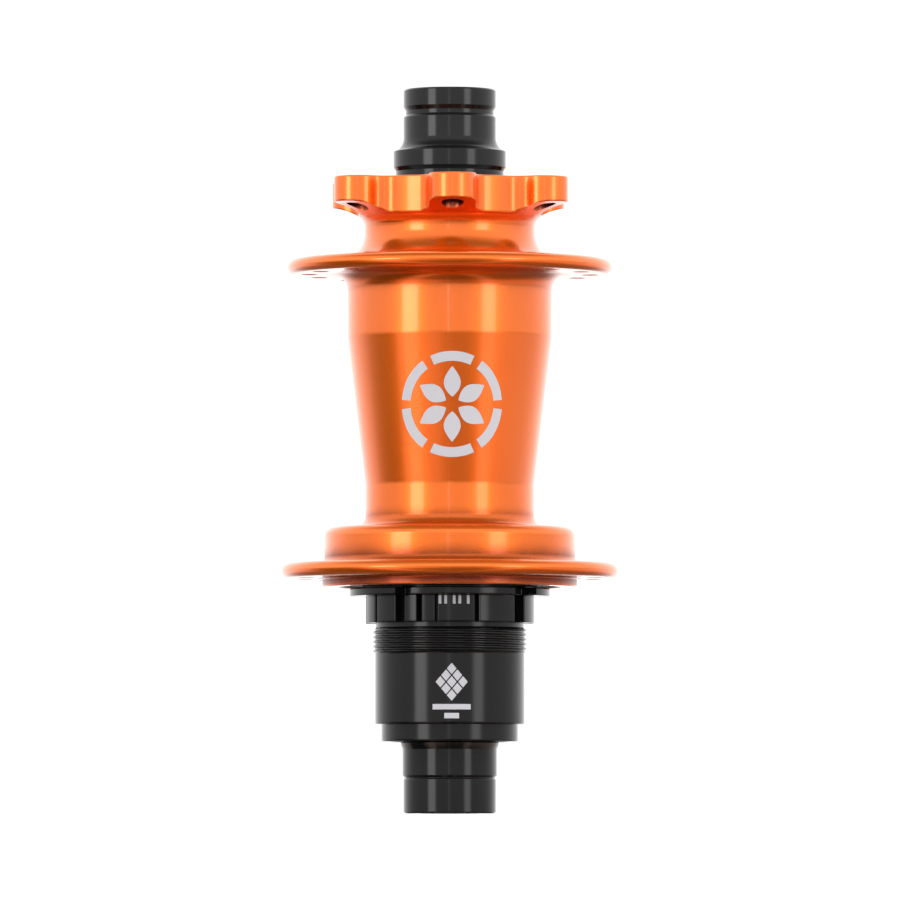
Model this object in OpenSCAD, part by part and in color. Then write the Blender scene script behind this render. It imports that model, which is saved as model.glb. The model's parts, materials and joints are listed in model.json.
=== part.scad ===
// Rear bicycle hub with a six-bolt disc mount and a ratcheting driver body.
// The axle runs along Z, the disc side is up, and the origin is midway between the end faces.
// All sizes are in millimetres, and angles are in degrees.

/* [Axle and end caps] */
// Distance between the two end faces
hub_w = 148; // [147:0.5:149]
// Diameter of the hole for the wheel's through-axle
thru_d = 12.1; // [12:0.05:12.4]
// Diameter of the end caps where they sit in the frame
cap_d = 18.9; // [18.5:0.1:19.2]
// Diameter of the disc-side end cap's collar
collar_d = 23; // [22.4:0.1:24]

/* [Disc mount] */
// Distance from the disc-side end face to the disc's seat
rotor_inset = 18.5; // [18.3:0.1:18.7]
// Thickness of the disc mount at its lobes' tips
mount_t = 5.2; // [5:0.1:5.4]
// Diameter of the disc's bolt circle
bolt_pcd = 44; // [43.5:0.1:44.5]
// Diameter of the tapped holes
bolt_hole_d = 4.5; // [4:0.1:5]
// Radius of each bolt's lobe
lobe_r = 4.75; // [4.5:0.05:5]
// Radius of the mount between its lobes
valley_r = 18.65; // [18.4:0.05:18.9]

/* [Shell] */
// Diameter of the neck under the disc mount
neck_d = 34.8; // [34.6:0.1:35.4]
// Diameter of the disc-side spoke flange
nds_flange_d = 66.4; // [65:0.1:67]
// Diameter of the drive-side spoke flange
ds_flange_d = 68.9; // [67.5:0.1:69.5]
// Thickness of both spoke flanges
flange_t = 3; // [2.8:0.1:3.2]
// Diameter of the barrel's wide end
barrel_d = 41.8; // [41.4:0.1:42.6]
// Diameter of the barrel's narrow end
waist_d = 34.5; // [34.3:0.1:35]
// Diameter of the housing round the ratchet
bell_d = 51.2; // [50.8:0.1:52]

/* [Spoke holes] */
// Number of spoke holes in each flange
spoke_count = 16; // [12, 14, 16]
// Diameter of the disc side's spoke circle
nds_spoke_pcd = 57.4; // [57:0.1:58]
// Diameter of the drive side's spoke circle
ds_spoke_pcd = 60; // [59.5:0.1:60.5]
// Diameter of a spoke hole
spoke_hole_d = 2.6; // [2.4:0.1:2.8]

/* [Driver body] */
// Diameter of the flange behind the splines
driver_flange_d = 40.9; // [40:0.1:41.5]
// Diameter over the splines
spline_d = 34.6; // [34:0.1:35]
// Diameter over the lockring thread
thread_d = 31.4; // [31.2:0.1:31.6]
// Pitch of the lockring thread
thread_pitch = 0.96; // [0.9:0.01:1]
// Diameter of the long smooth seat for the sprockets
seat_d = 30.5; // [30.3:0.1:30.7]
// Diameter of the short seat at the outer end
tail_d = 27.9; // [27.4:0.1:28.4]

/* [Ratchet] */
// Number of teeth in the drive ring
tooth_count = 72; // [72]
// Number of pawls
pawl_count = 6; // [6]
// Depth of a tooth
tooth_depth = 0.8; // [0.75:0.05:0.85]

/* [Hidden] */

$fn = 96;
ball_fn = 64;
overcut = 1;

anodised_orange = [0.95, 0.43, 0.12];
anodised_black = [0.16, 0.16, 0.17];
steel = [0.62, 0.63, 0.65];
dark_steel = [0.36, 0.37, 0.39];
rubber = [0.09, 0.09, 0.10];
nylon = [0.78, 0.74, 0.62];

front = -90;
end_z = hub_w / 2;
fit_gap = 0.05;

// Each ball bearing: bore radius, outer radius, width, height of its middle
NDS_BEARING = [8.5, 15, 7, 50.8];
DS_BEARING = [8.5, 15, 7, -9.5];
INBOARD_BEARING = [8.5, 13, 5, -31.5];
OUTBOARD_BEARING = [7.5, 12, 5, -55.5];

function bore_r(b) = b[0];
function outside_r(b) = b[1];
function width(b) = b[2];
function middle_z(b) = b[3];
function bottom_z(b) = middle_z(b) - width(b) / 2;
function top_z(b) = middle_z(b) + width(b) / 2;

// Proportions of every bearing, as shares of its ball's radius
ball_share = 0.269;
race_step_share = 0.52;
ball_spacing = 1.35;
cage_thickness = 0.3;
cage_width = 1.3;
cage_pocket = 1.06;
shield_t = 0.4;
shield_inset = 0.2;
shield_gap = 0.15;

// Axle
thru_r = thru_d / 2;
axle_r = bore_r(NDS_BEARING);
axle_tip_r = bore_r(OUTBOARD_BEARING);
axle_shoulder_r = 9.8;
axle_waist_r = 9;
axle_shoulder_w = 3;
axle_taper = 2;
axle_tip_z = end_z - 4.1;
spacer_gap = 0.03;
ratchet_spacer_t = 1.6;
driver_spacer_t = 1.8;

// End caps
cap_r = cap_d / 2;
collar_r = collar_d / 2;
cap_socket_r = axle_tip_r + fit_gap;
cap_floor_z = end_z - 4;
o_ring_r = 0.5;
o_ring_z = 67;
o_ring_centre_r = cap_socket_r + 0.45;
o_ring_squeeze = 0.02;

// Disc mount
mount_top = end_z - rotor_inset;
mount_bottom = mount_top - mount_t;
cove_r = 15.6;
cove_reach = 26.8;
cove_foot_r = 18.3;
neck_top = 46.2;
neck_lip = 0.2;
neck_lip_h = 0.9;
mount_edge = 1;
lobe_fillet_r = 3.5;
spot_face_r = 3.6;
spot_face_z = mount_bottom - 0.1;

// Shell
neck_r = neck_d / 2;
neck_bottom = 43.9;
neck_foot_r = 18.35;
neck_foot_z = 42;
neck_fillet_r = 3.9;
neck_fillet_centre_r = 22.3;
neck_fillet_centre_z = 43;
neck_fillet_start = 190;
nds_rim_r = nds_flange_d / 2;
ds_rim_r = ds_flange_d / 2;
barrel_r = barrel_d / 2;
waist_r = waist_d / 2;
bell_r = bell_d / 2;
nds_web_z = 37.6;
ds_web_z = -24.5;
rim_r = flange_t / 2;
barrel_cone_top = 23.4;
barrel_cone_bottom = -6.9;
barrel_fillet_r = 3.1;
waist_fillet_r = 2.3;
bell_corner_r = 1.8;
bell_fillet_r = 1.3;
bell_top = -15.6;
mouth_r = 26;
mouth_z = -27.8;
mouth_ledge = 0.4;
mouth_bevel = 0.5;
shell_wall = 2.9;
shell_lip_r = 13.2;
shell_lip_h = 3;
shell_lip_cone_h = 4;
waist_thickening = 0.8;
shell_cavity_top = 42;
shell_cavity_shoulder = 33;
bearing_lead_in = 0.4;

// Ratchet
ring_r = 22.4;
ring_top = -17.6;
ring_bottom = -25;
tooth_tip_r = 18.3;
tooth_root_r = tooth_tip_r + tooth_depth;
tooth_pitch = 360 / tooth_count;
carrier_r = 17.9;
carrier_top = -17.9;
pivot_r = 16.2;
heel_r = 1.5;
pawl_reach = 5;
pawl_tip_rise = 1.84;
pawl_bottom = -24.6;
pawl_top = -18.6;
pawl_end_gap = 0.1;
pocket_floor = -1.75;
pocket_reach = 6.3;
pocket_ledge_x = -1;
pocket_ledge_y = 0.6;
pocket_outer_x = 3;
pawl_flank = 3.6;
pawl_back = -0.2;
pawl_blend = 0.1;
leaf_t = 0.25;
leaf_w = 4;
leaf_gap = 0.02;
leaf_lift = 0.3;
leaf_foot = 1.5;
leaf_bend = 2.6;
leaf_tip = 5.6;
tip_angle = atan2(pawl_reach, pivot_r + pawl_tip_rise);
tooth_gap_angle = 1.6;

// Driver body
driver_flange_r = driver_flange_d / 2;
driver_flange_top = -28.15;
driver_flange_bottom = -29.7;
spline_r = spline_d / 2;
spline_root_r = 15.15;
spline_bottom = -35.2;
thread_r = thread_d / 2;
thread_top = -36.4;
thread_bottom = -41.3;
thread_depth = 0.4;
thread_flank = 0.45;
thread_crest = 0.1;
seat_r = seat_d / 2;
seat_bottom = -55.8;
tail_r = tail_d / 2;
driver_bottom = -59.35;
driver_bore_r = 11.2;
edge_bevel = 0.3;
circlip_top = -27.7;
circlip_t = 1;
circlip_gap = 0.1;
circlip_groove_depth = 0.7;
circlip_outset = 0.6;
circlip_inset = 1.2;
circlip_eye_gap = 5;

spline_overlap = 1;
flange_overlap = 0.5;
notch_into_spline = 0.35;

// Splines and the notches of the flange behind them: angle from the front, width in degrees
SPLINES = [
    [-72, 18], [-51, 20], [-29, 10], [-16.3, 9.6], [3, 26], [33.6, 30], [72, 25],
    [108, 22], [143, 26], [180, 22], [216, 26], [252, 18]
];
FLANGE_NOTCHES = [[-29, 10.5], [48.6, 19], [125, 15], [198, 15], [234, 10]];

// ---- Shared shapes ----

function arc(centre_r, centre_z, radius, from, to, steps = 6) =
    [for (i = [0:steps])
        let (a = from + (to - from) * i / steps)
        [centre_r + radius * cos(a), centre_z + radius * sin(a)]];

function mirrored(points) = [for (p = points) [p[0], -p[1]]];

module ring(inner_r, outer_r, bottom, top) {
    rotate_extrude()
        translate([inner_r, bottom])
            square([outer_r - inner_r, top - bottom]);
}

// A wedge of a ring, between two angles
module sector(inner_r, outer_r, middle, width, bottom, top, steps = 6) {
    outer = [for (i = [0:steps])
        let (a = middle - width / 2 + width * i / steps)
        [outer_r * cos(a), outer_r * sin(a)]];
    inner = [for (i = [steps:-1:0])
        let (a = middle - width / 2 + width * i / steps)
        [inner_r * cos(a), inner_r * sin(a)]];
    translate([0, 0, bottom])
        linear_extrude(top - bottom)
            polygon(concat(outer, inner));
}

// ---- Ball bearings ----

function pitch_r(b) = (bore_r(b) + outside_r(b)) / 2;
function ball_r(b) = (outside_r(b) - bore_r(b)) * ball_share;
function race_step(b) = ball_r(b) * race_step_share;
function ball_count(b) = floor(PI * pitch_r(b) / (ball_r(b) * ball_spacing));

module race(b, inner_r, outer_r) {
    translate([0, 0, middle_z(b)])
        rotate_extrude()
            difference() {
                translate([inner_r, -width(b) / 2])
                    square([outer_r - inner_r, width(b)]);
                translate([pitch_r(b), 0])
                    circle(ball_r(b) + fit_gap);
            }
}

module inner_race(b) {
    color(steel) race(b, bore_r(b), pitch_r(b) - race_step(b));
}

module outer_race(b) {
    color(steel) race(b, pitch_r(b) + race_step(b), outside_r(b));
}

module each_ball(b) {
    for (i = [0:ball_count(b) - 1])
        rotate(i * 360 / ball_count(b))
            translate([pitch_r(b), 0, middle_z(b)])
                children();
}

module balls(b) {
    color(steel) each_ball(b) sphere(ball_r(b), $fn = ball_fn);
}

module cage(b) {
    half_t = ball_r(b) * cage_thickness;
    half_w = ball_r(b) * cage_width;
    pocket_r = ball_r(b) * cage_pocket;
    color(nylon)
        difference() {
            ring(pitch_r(b) - half_t, pitch_r(b) + half_t, middle_z(b) - half_w, middle_z(b) + half_w);
            each_ball(b)
                rotate([0, 90, 0])
                    cylinder(h = 2 * ball_r(b), r = pocket_r, center = true);
        }
}

module bearing_shields(b) {
    inner_r = pitch_r(b) - race_step(b) + shield_gap;
    outer_r = pitch_r(b) + race_step(b);
    upper_face = top_z(b) - shield_inset;
    lower_face = bottom_z(b) + shield_inset;
    color(rubber) {
        ring(inner_r, outer_r, upper_face - shield_t, upper_face);
        ring(inner_r, outer_r, lower_face, lower_face + shield_t);
    }
}

// ---- Axle group ----

module axle() {
    nds_seat = bottom_z(NDS_BEARING);
    nds_step = top_z(NDS_BEARING);
    ds_seat = top_z(DS_BEARING);
    ds_step = bottom_z(INBOARD_BEARING);
    color(steel)
        rotate_extrude()
            polygon([
                [thru_r, axle_tip_z],
                [axle_tip_r, axle_tip_z],
                [axle_tip_r, nds_step],
                [axle_r, nds_step],
                [axle_r, nds_seat],
                [axle_shoulder_r, nds_seat],
                [axle_shoulder_r, nds_seat - axle_shoulder_w],
                [axle_waist_r, nds_seat - axle_shoulder_w - axle_taper],
                [axle_waist_r, ds_seat + axle_shoulder_w + axle_taper],
                [axle_shoulder_r, ds_seat + axle_shoulder_w],
                [axle_shoulder_r, ds_seat],
                [axle_r, ds_seat],
                [axle_r, ds_step],
                [axle_tip_r, ds_step],
                [axle_tip_r, -axle_tip_z],
                [thru_r, -axle_tip_z]
            ]);
}

// The socket that slips over the axle's end, with its O-ring groove, from the mouth outwards
function cap_socket(mouth_z) = [
    [thru_r, end_z - edge_bevel],
    [thru_r, cap_floor_z],
    [cap_socket_r, cap_floor_z],
    [cap_socket_r, o_ring_z + o_ring_r],
    [o_ring_centre_r + o_ring_r, o_ring_z + o_ring_r],
    [o_ring_centre_r + o_ring_r, o_ring_z - o_ring_r],
    [cap_socket_r, o_ring_z - o_ring_r],
    [cap_socket_r, mouth_z]
];

module nds_end_cap() {
    mouth_z = top_z(NDS_BEARING);
    groove_top = end_z - 3.6;
    groove_bottom = end_z - 5.75;
    groove_depth = 0.45;
    groove_r = cap_r - groove_depth;
    flare_top = 63.8;
    collar_bottom = 57.6;
    collar_bevel = 0.4;
    collar_edge = 0.25;
    sleeve_r = 11.05;
    foot_r = 9.9;
    foot_h = 0.7;
    flare_step = 0.05;
    flare_r = collar_r - cap_r - flare_step;
    flare_lip = 0.2;
    groove_rise = 0.5;
    groove_fall = 0.8;
    outside = concat(
        [
            [foot_r, mouth_z],
            [foot_r, mouth_z + foot_h],
            [sleeve_r, mouth_z + foot_h],
            [sleeve_r, collar_bottom - collar_bevel],
            [collar_r - collar_edge, collar_bottom],
            [collar_r, collar_bottom + collar_bevel],
            [collar_r, flare_top - flare_r - flare_lip]
        ],
        arc(collar_r - flare_step, flare_top, flare_r, -90, -180),
        [
            [cap_r, groove_bottom],
            [groove_r, groove_bottom + groove_rise],
            [groove_r, groove_top - groove_fall],
            [cap_r, groove_top],
            [cap_r, end_z - edge_bevel],
            [cap_r - edge_bevel, end_z],
            [thru_r + edge_bevel, end_z]
        ]);
    color(anodised_black)
        rotate_extrude()
            polygon(concat(outside, cap_socket(mouth_z)));
}

module ds_end_cap() {
    mouth_z = -(bottom_z(OUTBOARD_BEARING));
    driver_gap = 0.15;
    collar_top = -driver_bottom + driver_gap;
    collar_r = cap_r + 0.6;
    collar_w = 0.6;
    collar_draft = 0.1;
    collar_bevel = 0.8;
    body_r = cap_r + 0.2;
    foot_r = body_r - 0.4;
    groove_z = 66.75;
    groove_depth = 0.25;
    groove_rise = 0.5;
    groove_fall = 0.3;
    outside = [
        [foot_r, mouth_z],
        [foot_r, collar_top],
        [collar_r, collar_top],
        [collar_r - collar_draft, collar_top + collar_w],
        [body_r, collar_top + collar_w + collar_bevel],
        [body_r, groove_z - groove_rise],
        [cap_r - groove_depth, groove_z],
        [cap_r, groove_z + groove_fall],
        [cap_r, end_z - edge_bevel],
        [cap_r - edge_bevel, end_z],
        [thru_r + edge_bevel, end_z]
    ];
    color(anodised_black)
        rotate_extrude()
            polygon(mirrored(concat(outside, cap_socket(mouth_z))));
}

module cap_o_ring(z) {
    color(rubber)
        translate([0, 0, z])
            rotate_extrude()
                translate([o_ring_centre_r, 0])
                    circle(o_ring_r - o_ring_squeeze);
}

module ratchet_spacer() {
    top = bottom_z(DS_BEARING);
    bottom = top_z(INBOARD_BEARING);
    color(dark_steel) ring(axle_r + spacer_gap, axle_r + ratchet_spacer_t, bottom, top);
}

module driver_spacer() {
    top = bottom_z(INBOARD_BEARING);
    bottom = top_z(OUTBOARD_BEARING);
    color(dark_steel) ring(axle_tip_r + spacer_gap, axle_tip_r + driver_spacer_t, bottom, top);
}

// ---- Shell group ----

// The disc mount's outline: six lobes, blended into a round plate by hollow fillets
function lobe_outline(turn) =
    let (
        reach = bolt_pcd / 2,
        blend_reach = valley_r + lobe_fillet_r,
        span = lobe_r + lobe_fillet_r,
        half = acos((reach * reach + blend_reach * blend_reach - span * span)
            / (2 * reach * blend_reach)),
        blend_x = blend_reach * cos(half),
        blend_y = blend_reach * sin(half),
        lean = atan2(blend_y, reach - blend_x),
        points = concat(
            arc(blend_x, -blend_y, lobe_fillet_r, 180 - half, lean, 5),
            arc(reach, 0, lobe_r, lean - 180, 180 - lean, 12),
            arc(blend_x, blend_y, lobe_fillet_r, -lean, half - 180, 5))
    )
    [for (p = points)
        [p[0] * cos(turn) - p[1] * sin(turn), p[0] * sin(turn) + p[1] * cos(turn)]];

module mount_outline() {
    polygon([for (i = [0:5], p = lobe_outline(front + i * 60)) p]);
}

// Outside of the shell from the disc mount's seat down to the mouth
function shell_outside() = concat(
    [
        [neck_r, mount_top],
        [neck_r, neck_bottom],
        [neck_foot_r, neck_foot_z]
    ],
    arc(neck_fillet_centre_r, neck_fillet_centre_z, neck_fillet_r, neck_fillet_start, 270, 5),
    arc(nds_rim_r - rim_r, nds_web_z, rim_r, 90, -90, 8),
    arc(barrel_r + barrel_fillet_r, nds_web_z - rim_r - barrel_fillet_r, barrel_fillet_r, 90, 180, 6),
    [
        [barrel_r, barrel_cone_top],
        [waist_r, barrel_cone_bottom]
    ],
    arc(waist_r + waist_fillet_r, bell_top + waist_fillet_r, waist_fillet_r, 180, 270, 5),
    arc(bell_r - bell_corner_r, bell_top - bell_corner_r, bell_corner_r, 90, 0, 5),
    arc(bell_r + bell_fillet_r, ds_web_z + rim_r + bell_fillet_r, bell_fillet_r, 180, 270, 5),
    arc(ds_rim_r - rim_r, ds_web_z, rim_r, 90, -90, 8),
    [
        [mouth_r + mouth_ledge, ds_web_z - rim_r],
        [mouth_r, ds_web_z - rim_r - mouth_bevel],
        [mouth_r, mouth_z + edge_bevel],
        [mouth_r - edge_bevel, mouth_z]
    ]);

// Inside of the shell from the mouth up to the disc side's bearing seat
function shell_inside() =
    let (
        ds_top = top_z(DS_BEARING),
        nds_bottom = bottom_z(NDS_BEARING),
        nds_top = top_z(NDS_BEARING)
    )
    [
        [ring_r, mouth_z],
        [ring_r, ring_top],
        [outside_r(DS_BEARING), ring_top],
        [outside_r(DS_BEARING), ds_top],
        [shell_lip_r, ds_top],
        [shell_lip_r, ds_top + shell_lip_h],
        [waist_r - shell_wall + waist_thickening, ds_top + shell_lip_h + shell_lip_cone_h],
        [barrel_r - shell_wall, barrel_cone_top],
        [barrel_r - shell_wall, shell_cavity_shoulder],
        [shell_lip_r, shell_cavity_top],
        [shell_lip_r, nds_bottom],
        [outside_r(NDS_BEARING), nds_bottom],
        [outside_r(NDS_BEARING), nds_top],
        [outside_r(NDS_BEARING) + bearing_lead_in, nds_top + bearing_lead_in],
        [outside_r(NDS_BEARING) + bearing_lead_in, mount_top]
    ];

// The mount's underside is a cove: it leaves the neck and rises outwards to the lobes' tips
module disc_mount() {
    cove_z = mount_bottom - cove_r;
    foot_angle = acos((cove_foot_r - cove_reach) / cove_r);
    plate = concat(
        [
            [neck_r - mount_edge, mount_top],
            [neck_r - mount_edge, neck_top],
            [neck_r, neck_top],
            [neck_r + neck_lip, neck_top + neck_lip_h]
        ],
        arc(cove_reach, cove_z, cove_r, foot_angle, 90, 8),
        [[cove_reach + mount_edge, mount_bottom], [cove_reach + mount_edge, mount_top]]);
    intersection() {
        rotate_extrude() polygon(plate);
        translate([0, 0, neck_top - overcut])
            linear_extrude(mount_top - neck_top + overcut) mount_outline();
    }
}

module spoke_holes(pcd, web_z, turn) {
    for (i = [0:spoke_count - 1])
        rotate(front + turn + i * 360 / spoke_count)
            translate([pcd / 2, 0, web_z])
                cylinder(h = flange_t + overcut, d = spoke_hole_d, center = true);
}

module bolt_holes() {
    for (i = [0:5])
        rotate(front + i * 60)
            translate([bolt_pcd / 2, 0, 0]) {
                translate([0, 0, neck_top])
                    cylinder(h = mount_top - neck_top + overcut, d = bolt_hole_d);
                translate([0, 0, neck_top])
                    cylinder(h = spot_face_z - neck_top, r = spot_face_r);
            }
}

module hub_shell() {
    color(anodised_orange)
        difference() {
            union() {
                rotate_extrude() polygon(concat(shell_outside(), shell_inside()));
                disc_mount();
            }
            bolt_holes();
            spoke_holes(nds_spoke_pcd, nds_web_z, 0);
            spoke_holes(ds_spoke_pcd, ds_web_z, 180 / spoke_count);
        }
}

// Saw teeth that face the way the driver pushes, each ramp falling back to the next tip
module drive_ring() {
    first_face = tip_angle + tooth_gap_angle;
    teeth = [for (i = [0:tooth_count - 1])
        let (a = first_face + i * tooth_pitch)
        each [
            [tooth_root_r * cos(a), tooth_root_r * sin(a)],
            [tooth_tip_r * cos(a), tooth_tip_r * sin(a)]
        ]];
    color(dark_steel)
        translate([0, 0, ring_bottom])
            linear_extrude(ring_top - ring_bottom)
                difference() {
                    circle(ring_r);
                    polygon(teeth);
                }
}

module driver_seal() {
    seal_top = ring_bottom - 0.2;
    seal_bottom = mouth_z + 0.4;
    rim_w = 1.2;
    lip_r = carrier_r + 0.3;
    lip_w = 0.6;
    lip_chamfer = 0.2;
    lip_rise = 0.4;
    lip_back = 0.8;
    color(rubber)
        rotate_extrude()
            polygon([
                [ring_r, seal_top],
                [ring_r, seal_bottom],
                [ring_r - rim_w, seal_bottom],
                [lip_r + lip_w, seal_bottom + lip_rise],
                [lip_r, seal_bottom + lip_chamfer],
                [lip_r, seal_bottom + lip_chamfer + lip_rise],
                [lip_r + lip_back, seal_top]
            ]);
}

// ---- Driver group ----

function thread_profile() =
    let (turns = floor((thread_top - thread_bottom) / thread_pitch))
    [for (i = [0:turns - 1])
        let (z = thread_top - i * thread_pitch)
        each [
            [thread_r - thread_depth, z],
            [thread_r, z - thread_flank * thread_pitch],
            [thread_r, z - (thread_flank + thread_crest) * thread_pitch],
            [thread_r - thread_depth, z - thread_pitch]
        ]];

function driver_outside() = concat(
    [
        [carrier_r - edge_bevel, carrier_top],
        [carrier_r, carrier_top - edge_bevel],
        [carrier_r, driver_flange_top],
        [driver_flange_r, driver_flange_top],
        [driver_flange_r, driver_flange_bottom],
        [spline_root_r, driver_flange_bottom],
        [spline_root_r, thread_top]
    ],
    thread_profile(),
    [
        [seat_r, thread_bottom],
        [seat_r, seat_bottom + edge_bevel],
        [seat_r - edge_bevel, seat_bottom],
        [tail_r, seat_bottom],
        [tail_r, driver_bottom + edge_bevel],
        [tail_r - edge_bevel, driver_bottom]
    ]);

function driver_inside() =
    let (
        inboard_bottom = bottom_z(INBOARD_BEARING),
        outboard_top = top_z(OUTBOARD_BEARING),
        groove_r = outside_r(INBOARD_BEARING) + circlip_groove_depth,
        groove_top = circlip_top + circlip_gap,
        groove_bottom = circlip_top - circlip_t - circlip_gap
    )
    [
        [outside_r(OUTBOARD_BEARING), driver_bottom],
        [outside_r(OUTBOARD_BEARING), outboard_top],
        [driver_bore_r, outboard_top],
        [driver_bore_r, inboard_bottom],
        [outside_r(INBOARD_BEARING), inboard_bottom],
        [outside_r(INBOARD_BEARING), groove_bottom],
        [groove_r, groove_bottom],
        [groove_r, groove_top],
        [outside_r(INBOARD_BEARING), groove_top],
        [outside_r(INBOARD_BEARING), carrier_top]
    ];

module at_pawl(i) {
    rotate(i * 360 / pawl_count)
        translate([pivot_r, 0, pawl_bottom])
            children();
}

module pawl_pocket() {
    translate([0, 0, -pawl_end_gap])
        linear_extrude(pawl_top - pawl_bottom + 2 * pawl_end_gap) {
            circle(heel_r + fit_gap);
            polygon([
                [pocket_ledge_x, 0],
                [pocket_ledge_x, pocket_ledge_y],
                [pocket_floor, pocket_ledge_y],
                [pocket_floor, pocket_reach],
                [pocket_outer_x, pocket_reach],
                [pocket_outer_x, 0]
            ]);
        }
}

module splines() {
    for (s = SPLINES)
        sector(spline_root_r - spline_overlap, spline_r, front + s[0], s[1], spline_bottom,
            driver_flange_bottom + flange_overlap);
}

module flange_notches() {
    for (s = FLANGE_NOTCHES)
        sector(spline_r - notch_into_spline, driver_flange_r + overcut, front + s[0], s[1],
            driver_flange_bottom - overcut, driver_flange_top + overcut);
}

module driver_body() {
    color(anodised_black)
        difference() {
            union() {
                rotate_extrude() polygon(concat(driver_outside(), driver_inside()));
                splines();
            }
            flange_notches();
            for (i = [0:pawl_count - 1]) at_pawl(i) pawl_pocket();
        }
}

module driver_circlip() {
    color(dark_steel)
        translate([0, 0, circlip_top - circlip_t])
            linear_extrude(circlip_t)
                difference() {
                    circle(outside_r(INBOARD_BEARING) + circlip_outset);
                    circle(outside_r(INBOARD_BEARING) - circlip_inset);
                    translate([0, -circlip_eye_gap / 2])
                        square([2 * outside_r(INBOARD_BEARING), circlip_eye_gap]);
                }
}

// A pawl points the way the driver turns, with its tip in the drive ring's teeth
module pawl(i) {
    color(steel)
        at_pawl(i - 1)
            linear_extrude(pawl_top - pawl_bottom) {
                circle(heel_r);
                polygon([
                    [heel_r - pawl_blend, 0],
                    [heel_r - pawl_blend / 2, pawl_flank],
                    [pawl_tip_rise, pawl_reach],
                    [pawl_back, pawl_reach],
                    [pawl_blend - heel_r, 0]
                ]);
            }
}

// Leaf springs, one in each pawl's pocket, drawn at the height they are pressed down to
module pawl_springs() {
    rest = pocket_floor + leaf_gap;
    lifted = rest + leaf_lift;
    color(steel)
        for (i = [0:pawl_count - 1])
            at_pawl(i)
                translate([0, 0, (pawl_top - pawl_bottom - leaf_w) / 2])
                    linear_extrude(leaf_w)
                        polygon([
                            [rest, leaf_foot],
                            [rest, leaf_bend],
                            [lifted, leaf_tip],
                            [lifted + leaf_t, leaf_tip],
                            [rest + leaf_t, leaf_bend],
                            [rest + leaf_t, leaf_foot]
                        ]);
}

axle();
nds_end_cap();
ds_end_cap();
cap_o_ring(o_ring_z);  // nds_cap_o_ring
cap_o_ring(-o_ring_z);  // ds_cap_o_ring
ratchet_spacer();
driver_spacer();
hub_shell();
drive_ring();
driver_seal();
driver_body();
driver_circlip();
pawl_springs();
pawl(1);  // pawl_1
pawl(2);  // pawl_2
pawl(3);  // pawl_3
pawl(4);  // pawl_4
pawl(5);  // pawl_5
pawl(6);  // pawl_6
inner_race(NDS_BEARING);  // nds_inner_race
outer_race(NDS_BEARING);  // nds_outer_race
balls(NDS_BEARING);  // nds_balls
cage(NDS_BEARING);  // nds_cage
bearing_shields(NDS_BEARING);  // nds_bearing_shields
inner_race(DS_BEARING);  // ds_inner_race
outer_race(DS_BEARING);  // ds_outer_race
balls(DS_BEARING);  // ds_balls
cage(DS_BEARING);  // ds_cage
bearing_shields(DS_BEARING);  // ds_bearing_shields
inner_race(INBOARD_BEARING);  // inboard_inner_race
outer_race(INBOARD_BEARING);  // inboard_outer_race
balls(INBOARD_BEARING);  // inboard_balls
cage(INBOARD_BEARING);  // inboard_cage
bearing_shields(INBOARD_BEARING);  // inboard_bearing_shields
inner_race(OUTBOARD_BEARING);  // outboard_inner_race
outer_race(OUTBOARD_BEARING);  // outboard_outer_race
balls(OUTBOARD_BEARING);  // outboard_balls
cage(OUTBOARD_BEARING);  // outboard_cage
bearing_shields(OUTBOARD_BEARING);  // outboard_bearing_shields
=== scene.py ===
"""Studio picture of a rear bicycle hub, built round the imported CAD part.

All shapes are given in millimetres and turned into metres when a mesh is made. The axle runs along Z,
the disc side is up, and the camera looks along +Y. Angles are measured from the front, positive
towards +X.
"""

import json
import math

import bmesh
import bpy
import numpy as np
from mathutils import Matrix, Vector


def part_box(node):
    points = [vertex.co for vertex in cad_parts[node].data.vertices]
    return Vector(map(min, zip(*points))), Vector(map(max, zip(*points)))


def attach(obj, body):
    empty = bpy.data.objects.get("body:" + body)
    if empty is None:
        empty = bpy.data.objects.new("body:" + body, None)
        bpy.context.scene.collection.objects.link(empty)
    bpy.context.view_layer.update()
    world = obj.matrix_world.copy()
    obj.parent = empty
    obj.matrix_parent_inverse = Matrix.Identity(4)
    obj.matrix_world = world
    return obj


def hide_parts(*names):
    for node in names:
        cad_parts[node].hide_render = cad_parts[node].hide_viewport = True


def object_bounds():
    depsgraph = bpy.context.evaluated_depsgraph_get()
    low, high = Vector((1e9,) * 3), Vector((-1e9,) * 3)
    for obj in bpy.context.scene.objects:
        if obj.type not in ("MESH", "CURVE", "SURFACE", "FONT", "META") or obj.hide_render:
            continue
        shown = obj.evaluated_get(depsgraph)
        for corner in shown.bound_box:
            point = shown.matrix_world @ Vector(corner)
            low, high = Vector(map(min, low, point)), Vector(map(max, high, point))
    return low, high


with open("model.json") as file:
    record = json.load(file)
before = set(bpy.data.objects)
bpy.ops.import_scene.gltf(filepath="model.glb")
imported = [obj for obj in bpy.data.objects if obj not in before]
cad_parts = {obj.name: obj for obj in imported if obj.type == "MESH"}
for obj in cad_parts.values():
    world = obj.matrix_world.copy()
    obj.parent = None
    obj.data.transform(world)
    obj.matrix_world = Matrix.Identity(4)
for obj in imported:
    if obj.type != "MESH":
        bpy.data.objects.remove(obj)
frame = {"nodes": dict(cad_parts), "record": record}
cad_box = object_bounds()

MM = 0.001
FRONT = -90.0

# Columns round the axle: the shell's, and those of a plain turned piece
SHELL_COLUMNS = 960
LATHE_COLUMNS = 240

# Edges that bend more than this many degrees stay crisp
SHARP_ANGLE = 40
DRIVER_SHARP_ANGLE = 32

# Distance from a bend to the support row beside it, and how far a cutter reaches out of its hole
SUPPORT = 0.1
OVERCUT = 1


def top_of(node):
    """Height of the top of a CAD node, in millimetres."""
    return round(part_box(node)[1].z / MM, 2)


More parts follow.
